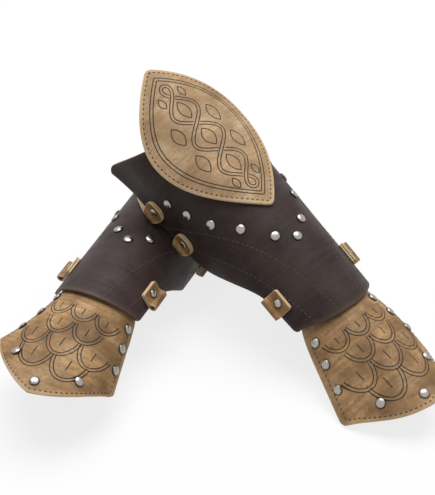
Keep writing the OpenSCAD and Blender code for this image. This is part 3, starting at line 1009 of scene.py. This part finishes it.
# The elbow plate is widest at this share of its length from the lower tip, and its sides follow
# this power. The tips would lie a little past its ends, and are rounded at this radius
LEAF_BELLY = 0.555
LEAF_POWER = 2.05
LEAF_TIP = 5.5 * MM
LEAF_PAST = 1.6 * MM
LEAF_STEPS = 60
TIP_STEPS = 16
# The end of the hand plate: shares of its length past the sides, and of its end width
HAND_END = ((0.2, 0.4575), (0.42, 0.41), (0.68, 0.32), (0.88, 0.19))


def leaf_middle(sizes):
    return sizes.leaf_tip - LEAF_BELLY * sizes.leaf_length


def leaf_half(sizes):
    """Half of the elbow plate's outline, from the upper tip to the lower one, both rounded"""
    widest = sizes.leaf_width / 2
    middle = leaf_middle(sizes)
    down = LEAF_BELLY * sizes.leaf_length
    sides = []
    for reach in (down - sizes.leaf_length - LEAF_PAST, down + LEAF_PAST):
        shares = [math.sin(math.pi / 2 * k / LEAF_STEPS) for k in range(1, LEAF_STEPS + 1)]
        sides.append([Vector((middle + reach * share, widest * (1 - share ** LEAF_POWER)))
                      for share in shares])
    outline = sides[0][::-1] + [Vector((middle, widest))] + sides[1]
    centres = drawn_in(outline, LEAF_TIP)
    outline = round_tip(outline, centres[-1][0], LEAF_TIP)
    return round_tip(outline[::-1], centres[0][0], LEAF_TIP)[::-1]


def round_tip(outline, centre, radius):
    """An outline whose last point becomes an arc round a centre on the axis"""
    gaps = [math.hypot(p.x - centre, p.y) for p in outline]
    touch = gaps.index(min(gaps))
    p = outline[touch]
    start = math.atan2(p.y, abs(p.x - centre))
    sign = 1 if outline[-1].x > centre else -1
    turns = [start * (1 - k / TIP_STEPS) for k in range(1, TIP_STEPS + 1)]
    return outline[:touch] + [Vector((centre + sign * radius * math.cos(a), radius * math.sin(a)))
                              for a in turns]


def hand_half(sizes):
    """Half of the hand plate's outline, from its tail to its end"""
    tail, side, full = sizes.hand_tail, sizes.hand_side, sizes.hand_length
    wrist, corner = sizes.hand_wrist / 2, sizes.hand_end / 2
    slope = (corner - wrist) / side
    before = 7 * MM
    points = [(-tail, wrist - 15 * MM), (-tail + 9 * MM, wrist - 6 * MM), (0, wrist),
              (side / 2, wrist + slope * side / 2), (side - before, corner - slope * before),
              (side, corner)]
    points += [(side + reach * (full - side), share * sizes.hand_end) for reach, share in HAND_END]
    return rounded_off(points + [(full - 0.8 * MM, 6 * MM), (full, 0)])


class BRACERS_OT_elbow_plates(bpy.types.Operator):
    """Makes the two leaf-shaped elbow plates"""
    bl_idname = "bracers.elbow_plates"
    bl_label = "Elbow plates"

    ROWS = 100
    COLUMNS = 64

    def execute(self, context):
        for bracer in both_bracers(context):
            widths = drawn_in(leaf_half(bracer.sizes), CUT_EDGE)
            grid = plate_grid(widths, bracer.leaf_curve, self.ROWS, self.COLUMNS)
            obj = leather_sheet(f"{bracer.prefix}_elbow_leather", grid, bracer.leaf,
                                bracer.sizes.leaf_thick, CUT_EDGE, "plate")
            kept(obj, bracer, "bracer", "plate_leather", "elbow_plate")
        return {"FINISHED"}


class BRACERS_OT_hand_plates(bpy.types.Operator):
    """Makes the two flared hand plates"""
    bl_idname = "bracers.hand_plates"
    bl_label = "Hand plates"

    ROWS = 90
    COLUMNS = 64
    DIMPLE_REACH = 5.5 * MM
    DIMPLE_DEPTH = 0.5 * MM

    def execute(self, context):
        for bracer in both_bracers(context):
            widths = drawn_in(hand_half(bracer.sizes), CUT_EDGE)
            grid = plate_grid(widths, bracer.hand_curve, self.ROWS, self.COLUMNS)
            dip = dimples(bracer.hand_places(), self.DIMPLE_REACH, self.DIMPLE_DEPTH)
            obj = leather_sheet(f"{bracer.prefix}_hand_leather", grid,
                                lambda x, s, h: bracer.hand(x, s, h - dip(x, s)),
                                bracer.sizes.hand_thick, CUT_EDGE, "hand")
            kept(obj, bracer, "hand", "plate_leather", "hand_plate")
        return {"FINISHED"}


class BRACERS_OT_lacing_loops(bpy.types.Operator):
    """Makes the twelve lacing loops, each a strap folded round its tunnel"""
    bl_idname = "bracers.lacing_loops"
    bl_label = "Lacing loops"

    EDGE = 0.4 * MM
    ROWS = 64
    COLUMNS = 16
    # How far past its ends a strap may be asked for
    OVER = 2 * MM
    # Radius of a strap's corners and how far it is pinched in at its tunnel, by place
    CORNERS = (9.5 * MM, 9.5 * MM, 2.5 * MM)
    PINCH = (5.5 * MM, 5.5 * MM, 0.3 * MM)
    PINCH_REACH = 6 * MM

    def fold_path(self, f):
        """The middle of the strap's thickness, across the arm and out of the shell"""
        t = f.loop_thick
        bend = f.lace / 2 + t / 2
        centre = Vector((f.loop_reach, SEAT + f.lace / 2 + t))
        path = [Vector((-f.loop_tail + k / 10 * (f.loop_reach + f.loop_tail), SEAT + t / 2))
                for k in range(10)]
        turns = [math.radians(a) for a in range(-90, 121, 15)]
        path += [centre + bend * Vector((math.cos(a), math.sin(a))) for a in turns]
        # Past the tunnel the strap comes down, lies flat under its rivet and lifts at its end
        flat = SEAT + 1.5 * t
        cap = f.loop_cap / 2
        down = [(cap + 1.2 * MM, flat + 1.1 * MM), (cap - 1.5 * MM, flat), (-1 * MM, flat),
                (-f.loop_tail, flat + 0.5 * MM)]
        return path + smooth_through([path[-1], *down], 6)[1:]

    def execute(self, context):
        for bracer in both_bracers(context):
            path = self.fold_path(bracer.fittings)
            marks = [0.0]
            for a, b in zip(path, path[1:]):
                marks.append(marks[-1] + (b - a).length)
            for side_name, side in (("near", bracer.near), ("far", -bracer.near)):
                for i, place_name in enumerate(PLACES):
                    grid = self.strap_grid(marks[-1], bracer.fittings.loop_width / 2, i)
                    name = f"{side_name}_{place_name}"
                    obj = leather_sheet(f"{bracer.prefix}_{name}_strap", grid,
                                        self.strap_surface(bracer, side, i, path, marks),
                                        bracer.fittings.loop_thick, self.EDGE, "strap")
                    kept(obj, bracer, "bracer", "loop_leather", f"loop_{name}")
        return {"FINISHED"}

    def strap_grid(self, full, half, i):
        """Flat places on a strap: its own length, and its width along the arm"""
        grid = []
        for row in range(self.ROWS + 1):
            a = self.EDGE + (full - 2 * self.EDGE) * row / self.ROWS
            k = max(0.0, 1 - min(a, full - a) / self.CORNERS[i])
            corner = self.CORNERS[i] * (1 - math.sqrt(max(0.0, 1 - k * k)))
            pinch = self.PINCH[i] * math.exp(-((a - full / 2) / self.PINCH_REACH) ** 2)
            width = half - corner - pinch - self.EDGE
            grid.append([(a, (2 * j / self.COLUMNS - 1) * width) for j in range(self.COLUMNS + 1)])
        return grid

    def strap_surface(self, bracer, side, i, path, marks):
        """Where a place a along the strap, b across it and h above it is"""
        x, s = bracer.loop_place(i)
        origin, along, around, out = surface_axes(bracer.shell, x, side * s)
        around = around * side
        above = bracer.fittings.loop_thick / 2

        def on_strap(a, b, h):
            a = min(max(a, -self.OVER), marks[-1] + self.OVER)
            k = 0
            while k < len(marks) - 2 and marks[k + 1] < a:
                k += 1
            direction = (path[k + 1] - path[k]).normalized()
            before = (path[k] - path[k - 1]).normalized() if k else direction
            after = (path[k + 2] - path[k + 1]).normalized() if k + 2 < len(path) else direction
            share = (a - marks[k]) / (marks[k + 1] - marks[k])
            heading = (before + direction) * (1 - share) + (direction + after) * share
            heading.normalize()
            p = path[k] + direction * (a - marks[k])
            p += Vector((heading.y, -heading.x)) * (above + h)
            return origin + along * b + around * p.x + out * p.y

        return on_strap


class BRACERS_OT_rivets(bpy.types.Operator):
    """Makes the domed rivet caps and finishes the posts behind them"""
    bl_idname = "bracers.rivets"
    bl_label = "Rivets"

    # Profiles of a cap and a foot, from the axis at the top: radius and height as shares of the
    # diameter. Between two radii the cap's rim is darkened with painted shade, for the contact
    # shade and dark reflections there
    DOME = ((0, 0.25), (0.1, 0.246), (0.2, 0.232), (0.3, 0.205), (0.38, 0.168), (0.44, 0.122),
            (0.48, 0.07), (0.498, 0.025), (0.49, 0.0), (0, 0.0))
    FOOT = ((0, 0.1), (0.42, 0.1), (0.47, 0.09), (0.5, 0.05), (0.48, 0.01), (0.44, 0), (0, 0))
    RIM_FROM = 0.40
    RIM_TO = 0.48
    STEPS = 24
    # How far the hand plate's caps are pressed into its dimples
    PRESSED = 0.2 * MM

    def points(self, name, spots):
        mesh = bpy.data.meshes.new(name)
        mesh.from_pydata([p for p, _, _ in spots], [], [])
        for label, kind in (("outward", "FLOAT_VECTOR"), ("size", "FLOAT")):
            mesh.attributes.new(label, kind, "POINT")
        outward, size = mesh.attributes["outward"], mesh.attributes["size"]
        for k, (_, out, width) in enumerate(spots):
            outward.data[k].vector = out
            size.data[k].value = width
        return mesh

    def spots(self, surface, places, lift, width):
        found = []
        for x, s in places:
            origin, _, _, out = surface_axes(surface, x, s)
            found.append((origin + (lift + SEAT) * out, out, width))
        return found

    def rim_shaded_cap(self):
        cap = lathe("rivet_cap", self.DOME, self.STEPS)
        # The rim attribute marks where the nickel is darkened with painted shade
        rim = cap.data.attributes.new("rim", "FLOAT", "POINT")
        for item, vertex in zip(rim.data, cap.data.vertices):
            share = (vertex.co.xy.length - self.RIM_FROM) / (self.RIM_TO - self.RIM_FROM)
            item.value = min(1.0, max(0.0, share))
        return cap

    def execute(self, context):
        cap = self.rim_shaded_cap()
        foot = lathe("rivet_foot", self.FOOT, self.STEPS)
        tree = rivet_tree()
        for bracer in both_bracers(context):
            f = bracer.fittings
            loops = [(x, side * s) for side in (-1, 1) for x, s in map(bracer.loop_place, range(3))]
            on_arm = (self.spots(bracer.shell, bracer.chevron_places(), 0.0, f.cap)
                      + self.spots(bracer.shell, loops, 2 * f.loop_thick + SEAT, f.loop_cap))
            on_hand = self.spots(bracer.hand, bracer.hand_places(), -self.PRESSED, f.cap)
            under = -bracer.sizes.hand_thick - 2 * SEAT
            feet = self.spots(bracer.hand, bracer.hand_places(), under, -f.foot)
            for name, where, shape, part, *nodes in (
                    ("arm_rivet_domes", on_arm, cap, "bracer", "chevron_rivet_caps",
                     "loop_rivet_caps"),
                    ("hand_rivet_domes", on_hand, cap, "hand", "hand_rivet_caps"),
                    ("hand_rivet_feet", feet, foot, "hand", "hand_rivet_posts")):
                grown(name, tree, self.points(name, where), "nickel", bracer, part, *nodes,
                      Cap=shape, Material=MATERIALS["nickel"])
            for kind in ("chevron", "loop"):
                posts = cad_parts[f"{bracer.prefix}_{kind}_rivet_posts"]
                posts.data.materials.clear()
                posts.data.materials.append(MATERIALS["nickel"])
        for helper in (cap, foot):
            bpy.data.objects.remove(helper)
        return {"FINISHED"}


class BRACERS_OT_stitching(bpy.types.Operator):
    """Sews the edges of the plates and the seams of the shells"""
    bl_idname = "bracers.stitching"
    bl_label = "Stitching"

    # Profile of a stitch: radius and height as shares of half its length and of its height
    STITCH = ((0, 1.0), (0.35, 0.9), (0.72, 0.62), (0.95, 0.3), (1.0, 0.0), (0.9, -0.3), (0, -0.4))
    STITCH_SIDES = 8
    # Length, width and height of a stitch, and how far above the leather its middle is
    PLATE_STITCH = (2.6 * MM, 1.15 * MM, 0.25 * MM)
    SHELL_STITCH = (3.0 * MM, 0.8 * MM, 0.25 * MM)
    # The groove is a dark bead nearly flush with the shell: painted shade of the seam groove
    ABOVE = 0.05 * MM
    GROOVE_RADIUS = 0.55 * MM
    GROOVE_DEPTH = 0.42 * MM
    # Seams in mm: how far round they end at the wrist, rise and bend, and how long they are
    SEAMS = ((14, 20, 48, 150), (37, 22, 38, 136))
    SEAM_STEPS = 120
    # A seam is drawn longer by this factor, and cut off near the edges of the shell
    SEAM_OVER = 1.25
    SEAM_FROM_EDGE = 3 * MM
    SEAM_FROM_WRIST = 4 * MM
    # The hand plate's stitches stop this far before the wrist edge
    HAND_CLEAR = 2 * MM

    def stitch(self, name, size):
        long, wide, high = size
        shape = lathe(name, self.STITCH, self.STITCH_SIDES)
        shape.data.transform(Matrix.Diagonal((long / 2, wide / 2, high, 1)))
        return shape

    def seams(self, bracer):
        """Two seams on each flank, from the lacing edge to the wrist"""
        paths = []
        for end, rise, bend, full in self.SEAMS:
            for side in (-1, 1):
                path = []
                for k in range(self.SEAM_STEPS + 1):
                    share = self.SEAM_OVER * (1 - k / self.SEAM_STEPS)
                    x = bracer.sizes.shell_length - share * full * MM
                    s = (end + rise * share + bend * share ** 3) * MM
                    if (s < bracer.edge_arc(x) - self.SEAM_FROM_EDGE
                            and x < bracer.wrist_line(s) - self.SEAM_FROM_WRIST):
                        path.append((x, side * s))
                paths.append(path)
        return paths

    def execute(self, context):
        tree = stitch_tree()
        beads = line_tree()
        plate_stitch = self.stitch("plate_stitch", self.PLATE_STITCH)
        shell_stitch = self.stitch("shell_stitch", self.SHELL_STITCH)
        for bracer in both_bracers(context):
            f = bracer.fittings
            leaf = inner_line(leaf_half(bracer.sizes), bracer.leaf_curve, f.leaf_inset)
            hand = inner_line(hand_half(bracer.sizes), bracer.hand_curve, f.hand_inset)
            hand = [q for q in closed(hand) if q[0] > self.HAND_CLEAR]
            seams = self.seams(bracer)
            on_plates = {"Stitch": plate_stitch, "Pitch": f.stitch_pitch,
                         "Material": MATERIALS["thread"]}
            on_shells = {"Stitch": shell_stitch, "Pitch": f.stitch_pitch,
                         "Material": MATERIALS["shell_thread"]}
            grown("elbow_stitches", tree, path_mesh([closed(leaf)], bracer.leaf, self.ABOVE),
                  "plate_leather", bracer, "bracer", **on_plates)
            grown("hand_stitches", tree, path_mesh([hand], bracer.hand, self.ABOVE),
                  "plate_leather", bracer, "hand", **on_plates)
            # Dark beads nearly flush with the leather: painted shade of a groove under the thread
            grown("seam_grooves", beads, path_mesh(seams, bracer.shell, -self.GROOVE_DEPTH),
                  "shell_leather", bracer, "bracer", Radius=self.GROOVE_RADIUS,
                  Material=MATERIALS["groove"])
            grown("shell_stitches", tree, path_mesh(seams, bracer.shell, self.ABOVE),
                  "shell_leather", bracer, "bracer", **on_shells)
        for helper in (plate_stitch, shell_stitch):
            bpy.data.objects.remove(helper)
        return {"FINISHED"}


class BRACERS_OT_tooling(bpy.types.Operator):
    """Tools a plait on the elbow plates and a fan of scales on the hand plates"""
    bl_idname = "bracers.tooling"
    bl_label = "Tooled lines"

    # The plait: a wave is the distance between two crossings. It reaches PLAIT_END waves to each
    # side of its middle, which is pushed from the plate's middle towards the lower tip. The lower
    # strand stops at a gap beside the upper one, but not in the last part of a wave
    PLAIT_WAVE = 33 * MM
    PLAIT_WIDTH = 17 * MM
    PLAIT_END = 1.9
    PLAIT_PUSH = 9 * MM
    PLAIT_GAP = 0.9 * MM
    PLAIT_LAST = 0.2
    PLAIT_STEPS = 120
    # Leaves in its eyes: half their length in waves, half their width as a share of the plait's.
    # Leaves beside it: waves from the middle, distance out, half length in waves, half width
    EYE = (0.30, 0.36)
    BESIDE = ((1.5, 12.5 * MM, 0.17, 3.2 * MM), (0.5, 23 * MM, 0.3, 5.5 * MM))
    LEAF_PARTS = 12
    BORDER = (9.5 * MM, 12.5 * MM)
    # The scales: rows, distance between them, width, growth per row and the place of the first
    SCALE_ROWS = 4
    SCALE_ROW = 17 * MM
    SCALE_WIDTH = 24 * MM
    SCALE_GROWTH = 0.14
    SCALE_FIRST = 10 * MM
    # A scale as shares of its width: its length, half its breadth and the end of its vein
    SCALE_SHAPE = (0.62, 0.47, 0.36)
    SCALE_TURN = math.radians(84)
    SCALE_PARTS = 32
    VEIN_FROM = 2 * MM
    # Radius of a line's bead as a share of the line's width, and how deep its middle is sunk as
    # a share of that radius
    BEAD = 0.8
    SINK = 0.82

    def band(self, path, width):
        """The two edges of a band along a path"""
        edges = [[], []]
        for k, (x, s) in enumerate(path):
            a, b = path[max(k - 1, 0)], path[min(k + 1, len(path) - 1)]
            along = Vector((b[0] - a[0], b[1] - a[1])).normalized()
            for edge, sign in zip(edges, (-1, 1)):
                edge.append((x - sign * along.y * width / 2, s + sign * along.x * width / 2))
        return edges

    def plait_shape(self, t):
        """How far a strand is from the middle, t waves from the plait's middle"""
        closing = math.sqrt(max(0.0, 1 - (t / self.PLAIT_END) ** 2))
        return self.PLAIT_WIDTH * math.cos(math.pi * t) * closing

    def plait_slope(self, t):
        step = 0.01
        rise = self.plait_shape(t + step) - self.plait_shape(t - step)
        return rise / (2 * step * self.PLAIT_WAVE)

    def plait(self, middle, width):
        """Two strands that cross over and under in turn, closed in a loop at each end"""
        lines = []
        for strand in (-1, 1):
            path = []
            for k in range(2 * self.PLAIT_STEPS + 1):
                t = self.PLAIT_END * math.sin(math.pi / 2 * (k / self.PLAIT_STEPS - 1))
                path.append((middle + t * self.PLAIT_WAVE, strand * self.plait_shape(t)))
            for edge in self.band(path, width):
                piece = []
                for x, s in edge:
                    t = (x - middle) / self.PLAIT_WAVE
                    gap = abs(s + strand * self.plait_shape(t)) / math.hypot(1, self.plait_slope(t))
                    covered = gap < width / 2 + self.PLAIT_GAP
                    is_under = math.floor(t) % 2 == (strand > 0)
                    if is_under and covered and abs(t) < self.PLAIT_END - self.PLAIT_LAST:
                        lines.append(piece)
                        piece = []
                    else:
                        piece.append((x, s))
                lines.append(piece)
        for eye in range(-1, 2):
            lines += self.lens(middle + eye * self.PLAIT_WAVE, 0.0, self.EYE[0] * self.PLAIT_WAVE,
                               self.EYE[1] * self.plait_shape(eye))
        for waves, out, reach, half in self.BESIDE:
            for sign in (-1, 1):
                for side in (-1, 1):
                    lines += self.lens(middle + sign * waves * self.PLAIT_WAVE, side * out,
                                       reach * self.PLAIT_WAVE, half)
        return [line for line in lines if len(line) > 2]

    def lens(self, x, s, reach, half):
        """A small leaf of two arcs"""
        shares = [k / self.LEAF_PARTS for k in range(-self.LEAF_PARTS, self.LEAF_PARTS + 1)]
        return [[(x + reach * t, s + side * half * (1 - t ** 2)) for t in shares]
                for side in (-1, 1)]

    def border(self, half, curve, inset):
        """A closed line inside a plate's outline"""
        inner = inner_line(half, curve, inset)
        line = [(inner[0][0], 0.0), *inner[1:-1], (inner[-1][0], 0.0)]
        return [line, [(x, -s) for x, s in line]]

    def scales(self, width):
        """Rows of arcs, each row set between the arcs of the last"""
        lines = []
        long, half, vein = self.SCALE_SHAPE
        turns = [self.SCALE_TURN * (2 * k / self.SCALE_PARTS - 1)
                 for k in range(self.SCALE_PARTS + 1)]
        for row in range(self.SCALE_ROWS):
            size = self.SCALE_WIDTH * (1 + self.SCALE_GROWTH * row)
            count = 3 - row % 2
            x = self.SCALE_FIRST + row * self.SCALE_ROW
            for n in range(count):
                s = (n - (count - 1) / 2) * size
                arc = [(x + long * size * math.cos(a), s + half * size * math.sin(a))
                       for a in turns]
                lines += self.band(arc, width)
                lines.append([(x + self.VEIN_FROM, s), (x + vein * size, s)])
        return lines

    def execute(self, context):
        tree = line_tree()
        for bracer in both_bracers(context):
            f = bracer.fittings
            z = bracer.sizes
            radius = self.BEAD * f.line
            # The beads lie nearly flush, so their dark colour is the burnished tone plus painted
            # shade of the groove
            bead = {"Radius": radius, "Material": MATERIALS["burnish_and_shade"]}
            lines = self.plait(leaf_middle(z) + self.PLAIT_PUSH, f.band)
            for inset in self.BORDER:
                lines += self.border(leaf_half(z), bracer.leaf_curve, inset)
            for name, paths, surface, part in (
                    ("elbow_tooling", lines, bracer.leaf, "bracer"),
                    ("hand_tooling", self.scales(f.band), bracer.hand, "hand")):
                grown(name, tree, path_mesh(paths, surface, -self.SINK * radius),
                      "plate_leather", bracer, part, **bead)
        return {"FINISHED"}


GROUPS = {"bracer_upper": BracerUpper, "bracer_lower": BracerLower, "bracer_leather": BracerLeather,
          "bracer_fittings": BracerFittings, "bracer_colours": BracerColours}
OPERATORS = (BRACERS_OT_stage, BRACERS_OT_shells, BRACERS_OT_elbow_plates, BRACERS_OT_hand_plates,
             BRACERS_OT_lacing_loops, BRACERS_OT_rivets, BRACERS_OT_stitching, BRACERS_OT_tooling)


class BRACERS_PT_panel(bpy.types.Panel):
    """Lists the steps that dress the bracers"""
    bl_idname = "BRACERS_PT_panel"
    bl_label = "Leather bracers"
    bl_space_type = "VIEW_3D"
    bl_region_type = "UI"
    bl_category = "Bracers"

    def draw(self, context):
        for operator in OPERATORS:
            self.layout.operator(operator.bl_idname)
        for group in GROUPS:
            box = self.layout.box()
            settings = getattr(context.scene, group)
            for name in settings.__annotations__:
                box.prop(settings, name)


def register():
    for cls in (*GROUPS.values(), *OPERATORS, BRACERS_PT_panel):
        bpy.utils.register_class(cls)
    for name, group in GROUPS.items():
        setattr(bpy.types.Scene, name, PointerProperty(type=group))


def unregister():
    for name in GROUPS:
        delattr(bpy.types.Scene, name)
    for cls in (BRACERS_PT_panel, *reversed(OPERATORS), *GROUPS.values()):
        bpy.utils.unregister_class(cls)


def main():
    register()
    MATERIALS.update(make_materials(bpy.context.scene.bracer_colours))
    bpy.ops.bracers.stage()
    bpy.ops.bracers.shells()
    bpy.ops.bracers.elbow_plates()
    bpy.ops.bracers.hand_plates()
    bpy.ops.bracers.lacing_loops()
    bpy.ops.bracers.rivets()
    bpy.ops.bracers.stitching()
    bpy.ops.bracers.tooling()
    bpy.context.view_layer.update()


if __name__ == "__main__":
    main()
